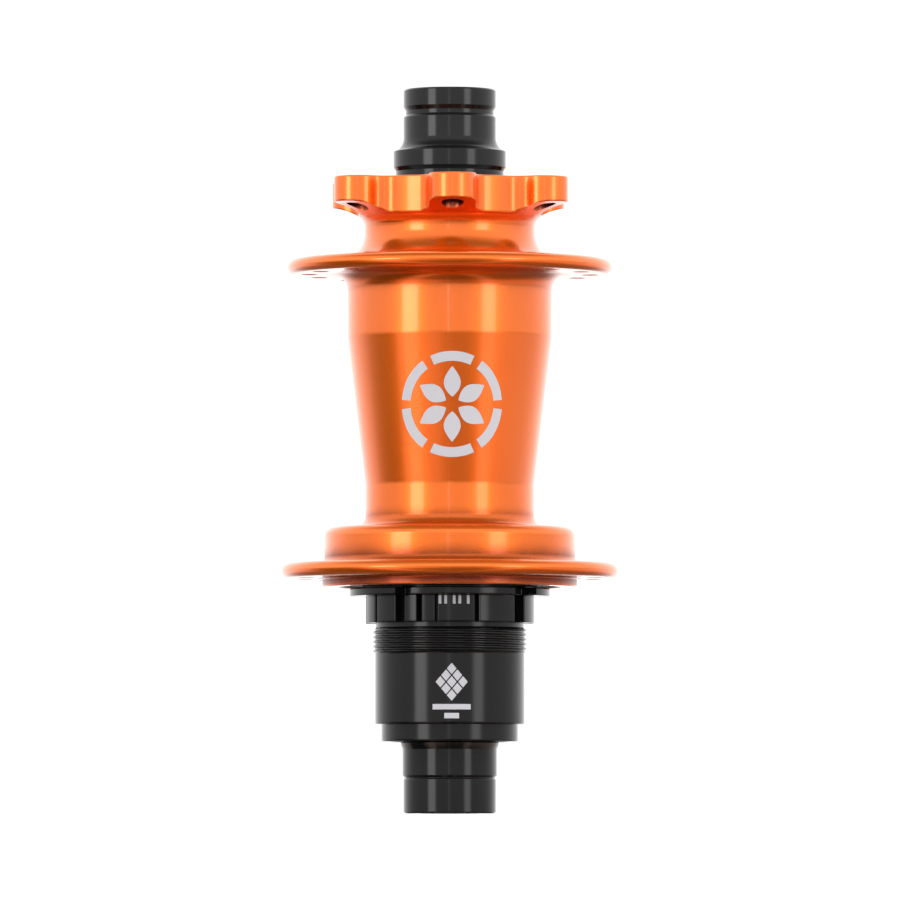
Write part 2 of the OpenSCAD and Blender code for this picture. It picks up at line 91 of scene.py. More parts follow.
def bottom_of(node):
    return round(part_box(node)[0].z / MM, 2)


def radius_of(node):
    """Outer radius of a round CAD node whose middle is on the axle."""
    return round(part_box(node)[1].x / MM, 2)


# Axle and end caps
END_Z = round(cad_box[1].z / MM, 2)
AXLE_TIP_Z = top_of("axle")
THRU_R = 6.05
SOCKET_R = 7.55
CAP_R = 9.45
COLLAR_R = radius_of("nds_end_cap")
CAP_BEVEL = 0.3

# Bearing seats
NDS_SEAT_R = radius_of("nds_outer_race")
DS_SEAT_R = radius_of("ds_outer_race")
INBOARD_SEAT_R = radius_of("inboard_outer_race")
OUTBOARD_SEAT_R = radius_of("outboard_outer_race")

# Disc mount
MOUNT_TOP = top_of("hub_shell")
MOUNT_TIP_Z = 50.3
MOUNT_INNER_R = 18
MOUNT_EDGE_R = 0.28
BOLT_COUNT = 6
BOLT_CIRCLE_R = 22.0
BOLT_HOLE_R = 2.25
BOLT_CHAMFER = 0.35
LOBE_R = 4.75
VALLEY_R = 18.65
LOBE_FILLET_R = 3.5
COVE_R = 15.6
COVE_REACH = 26.8
COVE_FOOT_R = 18.2

# Shell
NECK_R = 17.4
NECK_TOP = 46.2
NECK_FILLET_R = 5.5
NDS_RIM_R = 33.2
DS_RIM_R = 34.43
NDS_WEB_Z = 37.6
DS_WEB_Z = -24.5
RIM_R = 1.5
BARREL_R = 20.9
BARREL_FILLET_R = 3.1
WAIST_R = 17.25
WAIST_FILLET_R = 2.3
CONE_TOP = 23.4
CONE_BOTTOM = -6.9
CONE_BEND = 0.35
BELL_R = 25.6
BELL_TOP = -15.6
BELL_CORNER_R = 1.8
BELL_FILLET_R = 1.3
MOUTH_R = 26.0
MOUTH_Z = bottom_of("hub_shell")
MOUTH_FILLET_R = 0.4
MOUTH_BEVEL_R = 0.3
RING_BORE_R = radius_of("drive_ring")
SHELL_LIP_R = 13.2
SHELL_WALL = 2.9

# Support rows on the long straight parts of the shell: radii on the upper flange, heights elsewhere
FLANGE_ROWS_R = (24, 27)
BARREL_ROW_Z = 28
WAIST_ROW_Z = -8.5

# Points that lead from the mount's cove into the neck: beyond the neck's radius, above its top
NECK_BLEND = [(0.35, 0.75), (0.1, 0.3), (0, -0.2), (0, -0.8)]

# Spoke holes
SPOKE_COUNT = 16
SPOKE_HOLE_R = 1.3
SPOKE_SINK_R = 1.7
NDS_SPOKE_CIRCLE_R = 28.7
DS_SPOKE_CIRCLE_R = 30.0

# Driver body
CARRIER_R = 17.9
CARRIER_TOP = top_of("driver_body")
DRIVER_FLANGE_R = radius_of("driver_body")
DRIVER_FLANGE_TOP = -28.15
DRIVER_FLANGE_BOTTOM = -29.7
FLANGE_EDGE_R = 0.18
SPLINE_R = 17.3
SPLINE_ROOT_R = 15.15
SPLINE_BOTTOM = -35.2
SPLINE_EDGE_R = 0.2
NOTCH_R = SPLINE_R - 0.35
THREAD_TOP = -36.4
THREAD_BOTTOM = -41.3
THREAD_R = 15.7
THREAD_ROOT_R = 15.3
THREAD_PITCH = 0.96
SEAT_R = 15.25
SEAT_BOTTOM = -55.8
SEAT_EDGE_R = 0.3
TAIL_R = 13.95
TAIL_EDGE_R = 0.35
DRIVER_BOTTOM = bottom_of("driver_body")
DRIVER_BORE_R = 11.2
BORE_BEVEL = 0.3

# Splines and flange notches: angle from the front, width in degrees
SPLINES = [
    (-72, 18), (-51, 20), (-29, 10), (-16.3, 9.6), (3, 26), (33.6, 30), (72, 25),
    (108, 22), (143, 26), (180, 22), (216, 26), (252, 18),
]
FLANGE_NOTCHES = [(-29, 10.5), (48.6, 19), (125, 15), (198, 15), (234, 10)]

# The side wall of a spline or notch, measured inwards from its edge in units of SHOULDER: the wall
# stands on the first part, the rounded shoulder on the next, and the columns near it at WALL_STEPS
SHOULDER = 0.16
WALL_END = 0.5
SHOULDER_END = 2
WALL_STEPS = (-0.1, 0, 0.25, 0.5, 0.9, 1.4, 2, 2.1)
EVEN_COLUMNS = 360
COLUMN_GAP = 0.12

# Printed marks: how far they stand proud of a surface, and how far they reach under it
MARK_PROUD = 0.025
MARK_DEPTH = 0.06


# ---- Profiles and meshes ----

def arc(centre_r, centre_z, radius, start, end, steps):
    """Points of a circular arc in the (r, z) plane, with angles in degrees."""
    angles = np.radians(np.linspace(start, end, steps + 1))
    return [(centre_r + radius * math.cos(a), centre_z + radius * math.sin(a)) for a in angles]


def soft_corner(r, z, radius, start, end, steps, before=SUPPORT, after=SUPPORT):
    """An arc that rounds the right-angled corner at (r, z), with a support point beside each end."""
    (start_r, start_z), (end_r, end_z) = arc(0, 0, 1, start, end, 1)
    centre_r = r - radius * (start_r + end_r)
    centre_z = z - radius * (start_z + end_z)
    first = (centre_r + radius * start_r - before * end_r, centre_z + radius * start_z - before * end_z)
    last = (centre_r + radius * end_r - after * start_r, centre_z + radius * end_z - after * start_z)
    return [first] + arc(centre_r, centre_z, radius, start, end, steps) + [last]


def bezier(start, corner, end, steps):
    """Points of a curve that leaves one line at start and joins another at end, past their corner."""
    return [tuple(start * (1 - t) ** 2 + corner * (2 * t * (1 - t)) + end * t ** 2)
            for t in np.linspace(0, 1, steps + 1)]


def smooth_bend(before, corner, after, reach, steps=8):
    """A soft bend between two straight lines."""
    a, b, c = Vector(before), Vector(corner), Vector(after)
    start = b + (a - b).normalized() * reach
    end = b + (c - b).normalized() * reach
    return bezier(start, b, end, steps)


def round_corners(points, radius, steps=3):
    """Replaces each corner of a closed profile by a small arc, with a support point on each side."""
    smallest_turn = math.radians(12)
    longest_share = 0.35
    longest_support = 0.04
    rounded = []
    count = len(points)
    for i, point in enumerate(points):
        here = Vector(point)
        before = Vector(points[i - 1]) - here
        after = Vector(points[(i + 1) % count]) - here
        turn = math.pi - before.angle(after)
        if turn < smallest_turn:
            rounded.append(tuple(here))
            continue
        reach = min(radius * math.tan(turn / 2), longest_share * before.length, longest_share * after.length)
        start = here + before.normalized() * reach
        end = here + after.normalized() * reach
        support = min(reach / 2, longest_support)
        rounded.append(tuple(start + before.normalized() * support))
        rounded += bezier(start, here, end, steps)
        rounded.append(tuple(end + after.normalized() * support))
    return rounded


def grid_mesh(name, rows_r, rows_z, angles, sharp=SHARP_ANGLE):
    """A closed tube of quads. Each row gives a radius and a height for every column's angle.

    The rows run clockwise round the profile, as seen with r to the right, so the faces look outwards.
    """
    r = np.array(rows_r) * MM
    z = np.array(rows_z) * MM
    a = np.radians(FRONT + np.array(angles))
    rows, columns = r.shape
    points = np.stack([r * np.cos(a), r * np.sin(a), z], axis=-1).reshape(-1, 3)
    i, j = np.meshgrid(np.arange(rows), np.arange(columns), indexing="ij")
    ni = (i + 1) % rows
    nj = (j + 1) % columns
    faces = np.stack([i * columns + j, ni * columns + j, ni * columns + nj, i * columns + nj], axis=-1)
    mesh = bpy.data.meshes.new(name)
    mesh.from_pydata(points.tolist(), [], faces.reshape(-1, 4).tolist())
    return finish_mesh(name, mesh, sharp)


def finish_mesh(name, mesh, sharp=SHARP_ANGLE):
    """Makes the object of a new mesh, smooth but for its sharp edges."""
    mesh.validate()
    obj = bpy.data.objects.new(name, mesh)
    bpy.context.scene.collection.objects.link(obj)
    shade(mesh, sharp)
    return obj


def shade(mesh, sharp):
    mesh.shade_smooth()
    mesh.set_sharp_from_angle(angle=math.radians(sharp))


def lathe(name, profile, corner):
    """Turns a closed (r, z) profile, listed anticlockwise as seen with r to the right."""
    points = np.array(round_corners(profile[::-1], corner))
    angles = np.linspace(0, 360, LATHE_COLUMNS, endpoint=False)
    ones = np.ones(LATHE_COLUMNS)
    return grid_mesh(name, points[:, :1] * ones, points[:, 1:] * ones, angles)


# ---- Hub shell ----

def lobe_outline_radius(angles):
    """Distance of the disc mount's edge from the axle at each angle: six lobes with hollow blends."""
    half_pitch = math.pi / BOLT_COUNT
    blend_reach = VALLEY_R + LOBE_FILLET_R
    span = LOBE_R + LOBE_FILLET_R
    half = math.acos((BOLT_CIRCLE_R ** 2 + blend_reach ** 2 - span ** 2)
                     / (2 * BOLT_CIRCLE_R * blend_reach))
    blend_x = blend_reach * math.cos(half)
    blend_y = blend_reach * math.sin(half)
    touch_x = BOLT_CIRCLE_R + (blend_x - BOLT_CIRCLE_R) * LOBE_R / span
    touch_y = blend_y * LOBE_R / span
    touch = math.atan2(touch_y, touch_x)
    a = np.abs((np.radians(angles) + half_pitch) % (2 * half_pitch) - half_pitch)
    on_lobe = BOLT_CIRCLE_R * np.cos(a) + np.sqrt(
        np.maximum(LOBE_R ** 2 - (BOLT_CIRCLE_R * np.sin(a)) ** 2, 0))
    off = blend_reach * np.cos(a - half)
    on_blend = off - np.sqrt(np.maximum(LOBE_FILLET_R ** 2 - (blend_reach * np.sin(a - half)) ** 2, 0))
    return np.where(a < touch, on_lobe, np.where(a < half, on_blend, VALLEY_R))


def lobe_angles():
    """Column angles with nearly equal steps along the mount's edge, so that tight bends stay smooth."""
    fine_steps = 14400
    share_along_edge = 0.55
    fine = np.linspace(0, 360, fine_steps + 1)
    r = lobe_outline_radius(fine)
    a = np.radians(fine)
    x, y = r * np.cos(a), r * np.sin(a)
    along = np.concatenate([[0], np.cumsum(np.hypot(np.diff(x), np.diff(y)))])
    even = (1 - share_along_edge) * fine / 360 + share_along_edge * along / along[-1]
    return np.interp(np.linspace(0, 1, SHELL_COLUMNS, endpoint=False), even, fine)


def cove_z(r):
    """Height of the mount's underside, which rises outwards in a shallow cove."""
    return MOUNT_TIP_Z - COVE_R + np.sqrt(COVE_R ** 2 - (np.minimum(r, COVE_REACH) - COVE_REACH) ** 2)


def flange_rim(rim_r, web_z):
    """The round edge of a spoke flange, from its upper face to its lower one."""
    edge_r = rim_r - RIM_R
    upper = (edge_r - SUPPORT, web_z + RIM_R)
    lower = (edge_r - SUPPORT, web_z - RIM_R)
    return [upper] + arc(edge_r, web_z, RIM_R, 90, -90, 24) + [lower]


def shell_outside_profile():
    """The shell's outside, from the foot of the disc mount down to the mouth."""
    nds_top, nds_bottom = NDS_WEB_Z + RIM_R, NDS_WEB_Z - RIM_R
    ds_top, ds_bottom = DS_WEB_Z + RIM_R, DS_WEB_Z - RIM_R
    barrel_row = (BARREL_R, BARREL_ROW_Z)
    cone_top = (BARREL_R, CONE_TOP)
    cone_bottom = (WAIST_R, CONE_BOTTOM)
    waist_row = (WAIST_R, WAIST_ROW_Z)
    points = [(NECK_R + beyond, NECK_TOP + above) for beyond, above in NECK_BLEND]
    points += arc(NECK_R + NECK_FILLET_R, nds_top + NECK_FILLET_R, NECK_FILLET_R, 180, 270, 20)
    points += [(r, nds_top) for r in FLANGE_ROWS_R]
    points += flange_rim(NDS_RIM_R, NDS_WEB_Z)
    points += [(FLANGE_ROWS_R[-1], nds_bottom)]
    points += soft_corner(BARREL_R, nds_bottom, BARREL_FILLET_R, 90, 180, 16)
    points += [barrel_row]
    points += smooth_bend(barrel_row, cone_top, cone_bottom, CONE_BEND)
    points += smooth_bend(cone_top, cone_bottom, waist_row, CONE_BEND)
    points += [waist_row]
    points += soft_corner(WAIST_R, BELL_TOP, WAIST_FILLET_R, 180, 270, 14)
    points += soft_corner(BELL_R, BELL_TOP, BELL_CORNER_R, 90, 0, 14)
    points += soft_corner(BELL_R, ds_top, BELL_FILLET_R, 180, 270, 10)
    points += flange_rim(DS_RIM_R, DS_WEB_Z)
    points += soft_corner(MOUTH_R, ds_bottom, MOUTH_FILLET_R, 90, 180, 5)
    points += soft_corner(MOUTH_R, MOUTH_Z, MOUTH_BEVEL_R, 0, -90, 5)
    return points


def shell_inside_profile():
    """The shell's inside, from the mouth up past both bearing seats to the top."""
    ring_top = top_of("drive_ring")
    ds_top = top_of("ds_outer_race")
    nds_bottom, nds_top = bottom_of("nds_outer_race"), top_of("nds_outer_race")
    cavity_r = BARREL_R - SHELL_WALL
    cavity_shoulder, cavity_top = 33, 42
    lip_h = 3
    cone_h, cone_foot_r = 4, 15.2
    lead_in, top_bevel = 0.4, 0.2
    entry_r = NDS_SEAT_R + lead_in
    return [
        (RING_BORE_R + BORE_BEVEL, MOUTH_Z), (RING_BORE_R, MOUTH_Z + BORE_BEVEL),
        (RING_BORE_R, ring_top), (DS_SEAT_R, ring_top), (DS_SEAT_R, ds_top),
        (SHELL_LIP_R, ds_top), (SHELL_LIP_R, ds_top + lip_h), (cone_foot_r, ds_top + lip_h + cone_h),
        (cavity_r, CONE_TOP), (cavity_r, cavity_shoulder),
        (SHELL_LIP_R, cavity_top), (SHELL_LIP_R, nds_bottom), (NDS_SEAT_R, nds_bottom),
        (NDS_SEAT_R, nds_top), (entry_r, nds_top + lead_in), (entry_r, MOUNT_TOP - top_bevel),
        (entry_r + top_bevel, MOUNT_TOP),
    ]


class Grid:
    """Collects the rows of a grid mesh, each one a radius and a height for every column."""

    def __init__(self, angles):
        self.angles = angles
        self.ones = np.ones(len(angles))
        self.rows_r = []
        self.rows_z = []

    def row(self, r, z):
        self.rows_r.append(r * self.ones)
        self.rows_z.append(z * self.ones)

    def rows(self, profile):
        for r, z in profile:
            self.row(r, z)

    def mesh(self, name, sharp=SHARP_ANGLE):
        return grid_mesh(name, self.rows_r, self.rows_z, self.angles, sharp)


def disc_mount_rows(grid):
    """Rows of the disc mount: its top face, its lobed edge, and the cove below."""
    outline = lobe_outline_radius(grid.angles)
    edge = MOUNT_EDGE_R
    edge_support = 0.06
    wall_top = MOUNT_TOP - edge
    bottom = cove_z(outline)
    wall_bottom = bottom + edge
    under = outline - edge
    grid.row(MOUNT_INNER_R, MOUNT_TOP)
    for t in np.linspace(0.15, 1, 6):
        grid.row(MOUNT_INNER_R + (outline - edge - edge_support - MOUNT_INNER_R) * t, MOUNT_TOP)
    for a in np.radians(np.linspace(90, 0, 6)):
        grid.row(under + edge * math.cos(a), wall_top + edge * math.sin(a))
    for t in (0.03, 0.35, 0.65, 0.97):
        grid.row(outline, wall_top + (wall_bottom - wall_top) * t)
    for a in np.radians(np.linspace(0, 90, 6)):
        z = wall_bottom * (1 - math.sin(a)) + cove_z(under) * math.sin(a)
        grid.row(under + edge * math.cos(a), z)
    for t in np.concatenate([[0.02], np.linspace(0.1, 1, 22)]):
        r = under + (COVE_FOOT_R - under) * t
        grid.row(r, cove_z(r))


def hub_shell():
    """The shell as one closed grid, from the mount's top face down its outside and back up inside."""
    grid = Grid(lobe_angles())
    disc_mount_rows(grid)
    grid.rows(shell_outside_profile() + shell_inside_profile())
    shell = grid.mesh("shell_orange")
    cut(shell, shell_cutters())
    return shell


def plug(r, bottom, top, sink_r):
    """Profile of a round cutter that leaves a countersink at each end of its hole."""
    slope = sink_r - r
    return [(sink_r + OVERCUT, bottom - OVERCUT), (sink_r, bottom), (r, bottom + slope),
            (r, top - slope), (sink_r, top), (sink_r + OVERCUT, top + OVERCUT)]


def bolt_plug():
    """Profile of a cutter for a hole of the disc mount, with a chamfer at the top only."""
    chamfer_r = BOLT_HOLE_R + BOLT_CHAMFER
    return [(BOLT_HOLE_R, NECK_TOP), (BOLT_HOLE_R, MOUNT_TOP - BOLT_CHAMFER),
            (chamfer_r, MOUNT_TOP), (chamfer_r + OVERCUT, MOUNT_TOP + OVERCUT)]


def solid_of_revolution(points, faces, profile, x, y, segments=40):
    """Adds a closed round solid, standing at (x, y), to lists of points and faces."""
    first = len(points)
    angles = np.linspace(0, 2 * math.pi, segments, endpoint=False)
    for r, z in profile:
        points += [((x + r * math.cos(a)) * MM, (y + r * math.sin(a)) * MM, z * MM) for a in angles]
    for k in range(len(profile) - 1):
        low, high = first + k * segments, first + (k + 1) * segments
        faces += [(low + i, low + (i + 1) % segments, high + (i + 1) % segments, high + i)
                  for i in range(segments)]
    faces.append(tuple(first + i for i in reversed(range(segments))))
    last = first + (len(profile) - 1) * segments
    faces.append(tuple(last + i for i in range(segments)))


def ring_of_places(count, circle_r, turn=0.0):
    """Evenly spaced places round the axle, the first one turned from the front."""
    for i in range(count):
        a = math.radians(FRONT + turn + 360 * i / count)
        yield circle_r * math.cos(a), circle_r * math.sin(a)


def shell_cutters():
    """Bolt holes and both rows of spoke holes."""
    points, faces = [], []
    for x, y in ring_of_places(BOLT_COUNT, BOLT_CIRCLE_R):
        solid_of_revolution(points, faces, bolt_plug(), x, y)
    for circle_r, web_z, turn in ((NDS_SPOKE_CIRCLE_R, NDS_WEB_Z, 0.0),
                                  (DS_SPOKE_CIRCLE_R, DS_WEB_Z, 180 / SPOKE_COUNT)):
        for x, y in ring_of_places(SPOKE_COUNT, circle_r, turn):
            hole = plug(SPOKE_HOLE_R, web_z - RIM_R, web_z + RIM_R, SPOKE_SINK_R)
            solid_of_revolution(points, faces, hole, x, y)
    mesh = bpy.data.meshes.new("cutters")
    mesh.from_pydata(points, [], faces)
    cutters = bpy.data.objects.new("cutters", mesh)
    bpy.context.scene.collection.objects.link(cutters)
    return cutters


def cut(target, cutters):
    """Cuts one object out of another, then throws the cutter away."""
    modifier = target.modifiers.new("cut", "BOOLEAN")
    modifier.operation = "DIFFERENCE"
    modifier.solver = "MANIFOLD"
    modifier.object = cutters
    depsgraph = bpy.context.evaluated_depsgraph_get()
    result = bpy.data.meshes.new_from_object(target.evaluated_get(depsgraph))
    target.modifiers.clear()
    old = target.data
    target.data = result
    bpy.data.meshes.remove(old)
    bpy.data.objects.remove(cutters)
    shade(target.data, SHARP_ANGLE)


# ---- Driver body ----

def step_profile(angles, features, low, high):
    """Radius round the driver: high inside each feature and low elsewhere, with rounded shoulders."""
    unit = math.degrees(SHOULDER / high)
    r = np.full(len(angles), float(low))
    for middle, width in features:
        off = np.abs((angles - middle + 180) % 360 - 180) - width / 2
        inwards = -off / unit
        on_wall = low + (high - SHOULDER - low) * inwards / WALL_END
        over = (inwards - WALL_END) / (SHOULDER_END - WALL_END)
        on_shoulder = high - SHOULDER * (1 - over) ** 2
        lifted = np.select([inwards < WALL_END, inwards < SHOULDER_END], [on_wall, on_shoulder], default=high)
        r = np.where(inwards >= 0, lifted, r)
    return r


def driver_angles():
    """Column angles: even ones, and close ones at each wall of a spline or notch."""
    angles = set(np.linspace(0, 360, EVEN_COLUMNS, endpoint=False).round(4))
    unit = math.degrees(SHOULDER / SPLINE_R)
    for middle, width in SPLINES + FLANGE_NOTCHES:
        for side in (-1, 1):
            edge = middle + side * width / 2
            near = {(edge - side * k * unit) % 360 for k in WALL_STEPS}
            angles = {a for a in angles if min(abs(a - e) for e in near) > COLUMN_GAP}
            angles |= {round(e, 4) for e in near}
    return np.array(sorted(angles))


def thread_radius(angles, z):
    """Radius of the lockring thread, a rounded V that climbs one pitch for each turn."""
    start_phase = 0.35
    root_share, flank_share = 0.12, 0.72
    run_out = 0.25
    phase = (z / THREAD_PITCH + angles / 360 + start_phase) % 1
    wave = 1 - np.abs(2 * phase - 1)
    crest = np.clip((wave - root_share) / flank_share, 0, 1)
    crest = crest * crest * (3 - 2 * crest)
    fade_top = np.clip((THREAD_TOP + SUPPORT - z) / run_out, 0, 1)
    fade_bottom = np.clip((z - THREAD_BOTTOM) / run_out, 0, 1)
    return THREAD_ROOT_R + (THREAD_R - THREAD_ROOT_R) * crest * fade_top * fade_bottom


def driver_flange_rows(grid, spline):
    """Rows of the ratchet's carrier and the notched flange below it, which ends at the splines."""
    carrier_bevel = 0.3
    # The profile is turned over here, because step_profile raises its features and notches go in
    notched = DRIVER_FLANGE_R + NOTCH_R - step_profile(
        grid.angles, FLANGE_NOTCHES, NOTCH_R, DRIVER_FLANGE_R)
    edge = FLANGE_EDGE_R
    wall_top = DRIVER_FLANGE_TOP - edge
    wall_bottom = DRIVER_FLANGE_BOTTOM + edge
    grid.row(CARRIER_R - carrier_bevel, CARRIER_TOP)
    grid.row(CARRIER_R, CARRIER_TOP - carrier_bevel)
    grid.row(CARRIER_R, DRIVER_FLANGE_TOP + carrier_bevel)
    grid.row(np.minimum(CARRIER_R, notched - edge), DRIVER_FLANGE_TOP)
    for a in np.radians(np.linspace(90, 0, 4)):
        grid.row(notched - edge + edge * math.cos(a), wall_top + edge * math.sin(a))
    for t in (0.1, 0.9):
        grid.row(notched, wall_top + (wall_bottom - wall_top) * t)
    for a in np.radians(np.linspace(0, -90, 4)):
        grid.row(notched - edge + edge * math.cos(a), wall_bottom + edge * math.sin(a))
    for t, drop in ((0.5, 0.0), (0.9, 0.0), (0.97, 0.03), (1, 0.12)):
        grid.row((notched - edge) * (1 - t) + spline * t, DRIVER_FLANGE_BOTTOM - drop)


def spline_rows(grid, spline):
    """Rows of the splines, with a rounded lower edge, and of the plain neck above the thread."""
    edge = SPLINE_EDGE_R
    upper_row, lower_row = DRIVER_FLANGE_BOTTOM - 0.3, SPLINE_BOTTOM + 0.4
    least_height = 0.3
    raised = spline > SPLINE_ROOT_R + least_height
    for z in np.linspace(upper_row, lower_row, 5):
        grid.row(spline, z)
    for a in np.radians(np.linspace(0, -90, 5)):
        rounded = np.where(raised, spline - edge + edge * math.cos(a), spline)
        grid.row(np.maximum(rounded, SPLINE_ROOT_R), SPLINE_BOTTOM + edge + edge * math.sin(a))
    for z in (SPLINE_BOTTOM - 0.01, SPLINE_BOTTOM - 0.15, THREAD_TOP + 0.3):
        grid.row(SPLINE_ROOT_R, z)


def driver_tail_profile():
    """The driver's smooth seats below the thread, and its bore back up to the top."""
    outboard_top = top_of("outboard_outer_race")
    inboard_bottom = bottom_of("inboard_outer_race")
    step_bevel = 0.12
    points = [(SEAT_R, THREAD_BOTTOM - 0.1), (SEAT_R, THREAD_BOTTOM - 0.3)]
    points += soft_corner(SEAT_R, SEAT_BOTTOM, SEAT_EDGE_R, 0, -90, 5, before=0.2, after=0.05)
    points += [
        (TAIL_R + 0.15, SEAT_BOTTOM), (TAIL_R, SEAT_BOTTOM - step_bevel),
        (TAIL_R, SEAT_BOTTOM - 0.25),
    ]
    points += soft_corner(TAIL_R, DRIVER_BOTTOM, TAIL_EDGE_R, 0, -90, 5, before=0.15, after=0.05)
    points += [
        (OUTBOARD_SEAT_R + BORE_BEVEL, DRIVER_BOTTOM), (OUTBOARD_SEAT_R, DRIVER_BOTTOM + BORE_BEVEL),
        (OUTBOARD_SEAT_R, outboard_top), (DRIVER_BORE_R, outboard_top),
        (DRIVER_BORE_R, inboard_bottom), (INBOARD_SEAT_R, inboard_bottom),
        (INBOARD_SEAT_R, CARRIER_TOP - BORE_BEVEL), (INBOARD_SEAT_R + BORE_BEVEL, CARRIER_TOP),
    ]
    return points


def driver_body():
    """The driver's outside and inside as one closed grid."""
    rows_per_thread = 14
    grid = Grid(driver_angles())
    spline = step_profile(grid.angles, SPLINES, SPLINE_ROOT_R, SPLINE_R)
    driver_flange_rows(grid, spline)
    spline_rows(grid, spline)
    for z in np.arange(THREAD_TOP + SUPPORT, THREAD_BOTTOM - 0.01, -THREAD_PITCH / rows_per_thread):
        grid.row(thread_radius(grid.angles, z), z)
    grid.rows(driver_tail_profile())
    return grid.mesh("driver_black", DRIVER_SHARP_ANGLE)


# ---- End caps ----

def upper_cap():
    mouth_z = bottom_of("nds_end_cap")
    foot_r, foot_h = 9.9, 0.7
    sleeve_r = 11.05
    collar_bottom, collar_bevel, collar_edge = 57.6, 0.4, 0.25
    flare_r, flare_top = 2.9, 64.1
    groove_top, groove_bottom = END_Z - 3.6, END_Z - 5.75
    groove_r, groove_rise, groove_fall = CAP_R - 0.45, 0.5, 0.8
    profile = [
        (THRU_R + CAP_BEVEL, END_Z), (THRU_R, END_Z - CAP_BEVEL), (THRU_R, AXLE_TIP_Z),
        (SOCKET_R, AXLE_TIP_Z), (SOCKET_R, mouth_z), (foot_r, mouth_z), (foot_r, mouth_z + foot_h),
        (sleeve_r, mouth_z + foot_h), (sleeve_r, collar_bottom - collar_bevel),
        (COLLAR_R - collar_edge, collar_bottom), (COLLAR_R, collar_bottom + collar_bevel),
        (COLLAR_R, flare_top - flare_r),
    ]
    profile += arc(CAP_R + flare_r, flare_top, flare_r, -108, -180, 12)
    profile += [
        (CAP_R, groove_bottom), (groove_r, groove_bottom + groove_rise),
        (groove_r, groove_top - groove_fall), (CAP_R, groove_top),
        (CAP_R, END_Z - CAP_BEVEL), (CAP_R - CAP_BEVEL, END_Z),
    ]
    return lathe("upper_cap", profile, corner=0.15)


def lower_cap():
    mouth_z = top_of("ds_end_cap")
    body_r = CAP_R + 0.2
    foot_r = body_r - 0.4
    collar_top, collar_r = DRIVER_BOTTOM - 0.15, CAP_R + 0.6
    collar_w, collar_draft, collar_bevel = 0.6, 0.1, 0.8
    groove_z, groove_depth, groove_rise, groove_fall = -66.75, 0.25, 0.5, 0.3
    profile = [
        (THRU_R + CAP_BEVEL, -END_Z), (CAP_R - CAP_BEVEL, -END_Z), (CAP_R, -END_Z + CAP_BEVEL),
        (CAP_R, groove_z - groove_fall), (CAP_R - groove_depth, groove_z),
        (body_r, groove_z + groove_rise), (body_r, collar_top - collar_w - collar_bevel),
        (collar_r - collar_draft, collar_top - collar_w), (collar_r, collar_top),
        (foot_r, collar_top), (foot_r, mouth_z), (SOCKET_R, mouth_z), (SOCKET_R, -AXLE_TIP_Z),
        (THRU_R, -AXLE_TIP_Z), (THRU_R, -END_Z + CAP_BEVEL),
    ]
    return lathe("lower_cap", profile, corner=0.12)


# ---- Printed marks ----

def bar_patch(left, right, bottom, top, steps=8):
    """Points of an upright rectangle, as a grid of (across, up) pairs."""
    across, up = np.meshgrid(np.linspace(left, right, steps), np.linspace(bottom, top, steps))
    return np.stack([across, up], axis=-1)


def arc_patch(inner, outer, start, end, steps=24):
    """Points of a piece of a ring, with its angles measured from straight up."""
    r, a = np.meshgrid(np.linspace(inner, outer, 4), np.radians(np.linspace(start, end, steps)))
    return np.stack([r * np.sin(a), r * np.cos(a)], axis=-1)


def lozenge_patch(x, y, half_width, half_height, steps=9):
    """Points of an upright lozenge round (x, y), its top and bottom tips slightly blunt."""
    blunt = 0.03
    up, side = np.meshgrid(np.linspace(-1, 1, steps), np.linspace(-1, 1, 5), indexing="ij")
    half = side * (blunt + half_width * (1 - np.abs(up)))
    return np.stack([x + half, y + half_height * up], axis=-1)


def leaf_patch(foot, length, width, turn, steps=16):
    """Points of a leaf that starts near the middle and points away from it, widest past its middle."""
    blunt = 0.15
    lean = 0.9
    along, side = np.meshgrid(np.linspace(0, 1, steps), np.linspace(-0.5, 0.5, 6), indexing="ij")
    reach = foot + length * along
    half = side * (blunt + width * np.sin(math.pi * along ** lean))
    a = math.radians(turn)
    return np.stack([reach * math.sin(a) + half * math.cos(a),
                     reach * math.cos(a) - half * math.sin(a)], axis=-1)


def slab_faces(first, rows, columns):
    """Faces of a closed slab: an upper sheet of points, the same sheet under it, and a rim."""
    under = rows * columns

    def at(i, j):
        return first + i * columns + j

    faces = []
    for i in range(rows - 1):
        for j in range(columns - 1):
            top = [at(i, j), at(i, j + 1), at(i + 1, j + 1), at(i + 1, j)]
            faces.append(top)
            faces.append([under + k for k in reversed(top)])
    rim = [at(0, j) for j in range(columns)] + [at(i, columns - 1) for i in range(1, rows)]
    rim += [at(rows - 1, j) for j in range(columns - 2, -1, -1)]
    rim += [at(i, 0) for i in range(rows - 2, 0, -1)]
    for k, here in enumerate(rim):
        ahead = rim[(k + 1) % len(rim)]
        faces.append([ahead, here, under + here, under + ahead])
    return faces


def mark(name, patches, surface_r, middle_z, turn):
    """A thin print on a turned surface: each patch becomes a closed slab that stands just proud of it."""
    points, faces = [], []
    for patch in patches:
        rows, columns = patch.shape[:2]
        faces += slab_faces(len(points), rows, columns)
        z = middle_z + patch[..., 1]
        r = surface_r(z)
        a = np.radians(FRONT + turn) + patch[..., 0] / r
        for lift in (MARK_PROUD, -MARK_DEPTH):
            level = np.stack([(r + lift) * np.cos(a), (r + lift) * np.sin(a), z], axis=-1) * MM
            points += level.reshape(-1, 3).tolist()
    mesh = bpy.data.meshes.new(name)
    mesh.from_pydata(points, [], faces)
    tidy = bmesh.new()
    tidy.from_mesh(mesh)
    bmesh.ops.recalc_face_normals(tidy, faces=tidy.faces)
    tidy.to_mesh(mesh)
    tidy.free()
    return finish_mesh(name, mesh)


def round_surface(radius):
    """A function that gives the same radius at every height."""
    return lambda z: np.full_like(z, radius)


